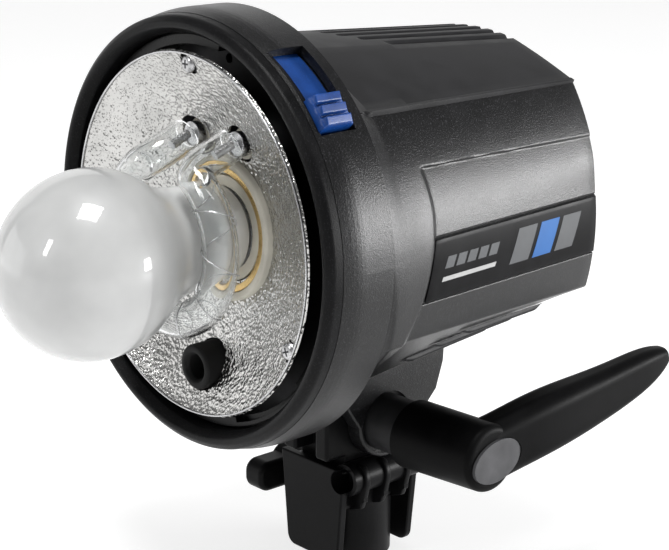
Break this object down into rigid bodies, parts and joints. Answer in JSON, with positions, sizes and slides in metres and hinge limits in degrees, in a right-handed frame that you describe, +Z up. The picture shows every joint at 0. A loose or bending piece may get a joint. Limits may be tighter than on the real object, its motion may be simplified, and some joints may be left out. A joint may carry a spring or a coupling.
{
  "type": "monolight strobe",
  "caption": "Compact studio flash head with bayonet ring, hammered reflector, modelling lamp, ring flash tube, tilting stand bracket and clamp lever.",
  "frame": {"origin": "centre of the mouth of the stand socket", "axes": "+Z up along the socket, -Y the direction of the light, +X towards the clamp lever"},
  "size_m": [0.1414, 0.227, 0.195],
  "materials": {
    "ring_black": "moulded, fine grain, satin",
    "shell_charcoal": "charcoal, fine sparkle grain",
    "cover_grey": "dark grey, smooth matte",
    "badge_black": "plain satin label film",
    "lock_blue": "saturated blue, satin",
    "reflector_alu": "bright, hammered",
    "steel": "zinc plated",
    "brass": "turned",
    "ceramic_white": "unglazed white",
    "frosted_glass": "frosted",
    "clear_glass": "clear quartz",
    "rubber_black": "matt",
    "bracket_black": "glass filled nylon, satin",
    "lever_black": "satin",
    "cap_grey": "mid grey",
    "button_grey": "soft touch",
    "display_dark": "clear over dark",
    "inlet_black": "moulded",
    "cell_clear": "tinted clear",
    "board_green": "solder mask",
    "part_dark": "component bodies",
    "capacitor_sleeve": "shrink sleeve"
  },
  "bodies": {
    "stand": {"stand_bracket": "bracket_black", "knob_insert": "brass", "tilt_washers": "rubber_black"},
    "head": {"front_ring": "ring_black", "collar": "shell_charcoal", "bayonet_seat": "ring_black", "reflector": "reflector_alu", "reflector_screws": "steel", "reflector_carrier": "steel", "umbrella_tube": "rubber_black", "lamp_holder": "ceramic_white", "modelling_lamp_cap": "steel", "modelling_lamp_glass": "frosted_glass", "flash_tube_glass": "clear_glass", "flash_tube_pins": "steel", "flash_tube_contacts": "ceramic_white", "trigger_wire": "steel", "lower_shell": "shell_charcoal", "top_cover": "cover_grey", "side_badge_right": "badge_black", "side_badge_left": "badge_black", "belly_louvres": "cover_grey", "tilt_ear_right": "shell_charcoal", "tilt_ear_left": "shell_charcoal", "tilt_nut": "steel", "rear_panel": "shell_charcoal", "display_window": "display_dark", "mains_inlet": "inlet_black", "inlet_pins": "steel", "rocker_frame": "inlet_black", "fuse_sleeve": "inlet_black", "sync_jack": "steel", "photocell_dome": "cell_clear", "panel_screws": "steel", "capacitors": "capacitor_sleeve", "main_board": "board_green", "board_parts": "part_dark", "control_board": "board_green", "trigger_coil": "part_dark", "fan_frame": "part_dark"},
    "bayonet_lock": {"lock_ring": "ring_black", "lock_slider": "lock_blue"},
    "button_1": {"panel_button_1": "button_grey"},
    "button_2": {"panel_button_2": "button_grey"},
    "button_3": {"panel_button_3": "button_grey"},
    "button_4": {"panel_button_4": "button_grey"},
    "button_5": {"panel_button_5": "button_grey"},
    "button_6": {"panel_button_6": "button_grey"},
    "rocker": {"rocker_switch": "inlet_black"},
    "fuse": {"fuse_cap": "inlet_black"},
    "fan_rotor": {"fan_impeller": "part_dark"},
    "stand_knob": {"clamp_screw": "steel", "clamp_knob": "bracket_black"},
    "lever_core": {"tilt_bolt": "steel", "lever_spacer": "bracket_black", "lever_screw": "steel"},
    "lever": {"lever_handle": "lever_black", "lever_cap": "cap_grey", "lever_spring": "steel"}
  },
  "joints": [
    {"name": "head_tilt", "type": "hinge", "parent": "stand", "child": "head", "pos_m": [0, 0, 0.0515], "axis": [1, 0, 0], "range_deg": [-45, 60]},
    {"name": "lever_turn", "type": "hinge", "parent": "head", "child": "lever_core", "pos_m": [0.03, 0, 0.0515], "axis": [1, 0, 0], "range_deg": [-170, 20]},
    {"name": "lever_pull", "type": "slide", "parent": "lever_core", "child": "lever", "axis": [1, 0, 0], "range_m": [0, 0.004], "stiffness_N_per_m": 600, "springref_m": -0.003, "deforming": ["lever_spring"]},
    {"name": "stand_knob_turn", "type": "hinge", "parent": "stand", "child": "stand_knob", "pos_m": [-0.03, 0, 0.022], "axis": [1, 0, 0], "range_deg": [-90, 180]},
    {"name": "lock_slide", "type": "hinge", "parent": "head", "child": "bayonet_lock", "pos_m": [0, -0.062, 0.125], "axis": [0, 1, 0], "range_deg": [-15, 0], "stiffness_Nm_per_rad": 0.3, "springref_deg": 8.59},
    {"name": "rocker_rock", "type": "hinge", "parent": "head", "child": "rocker", "pos_m": [0.012, 0.0522, 0.107], "axis": [1, 0, 0], "range_deg": [-10, 0]},
    {"name": "fuse_pull", "type": "slide", "parent": "head", "child": "fuse", "axis": [0, 1, 0], "range_m": [0, 0.016]},
    {"name": "fan_spin", "type": "hinge", "parent": "head", "child": "fan_rotor", "pos_m": [0, 0.012, 0.163], "axis": [0, 0, 1], "continuous": true},
    {"name": "button_1_press", "type": "slide", "parent": "head", "child": "button_1", "axis": [0, -1, 0], "range_m": [0, 0.0011], "stiffness_N_per_m": 300, "springref_m": -0.0005},
    {"name": "button_2_press", "type": "slide", "parent": "head", "child": "button_2", "axis": [0, -1, 0], "range_m": [0, 0.0011], "stiffness_N_per_m": 300, "springref_m": -0.0005},
    {"name": "button_3_press", "type": "slide", "parent": "head", "child": "button_3", "axis": [0, -1, 0], "range_m": [0, 0.0011], "stiffness_N_per_m": 300, "springref_m": -0.0005},
    {"name": "button_4_press", "type": "slide", "parent": "head", "child": "button_4", "axis": [0, -1, 0], "range_m": [0, 0.0011], "stiffness_N_per_m": 300, "springref_m": -0.0005},
    {"name": "button_5_press", "type": "slide", "parent": "head", "child": "button_5", "axis": [0, -1, 0], "range_m": [0, 0.0011], "stiffness_N_per_m": 300, "springref_m": -0.0005},
    {"name": "button_6_press", "type": "slide", "parent": "head", "child": "button_6", "axis": [0, -1, 0], "range_m": [0, 0.0011], "stiffness_N_per_m": 300, "springref_m": -0.0005}
  ]
}
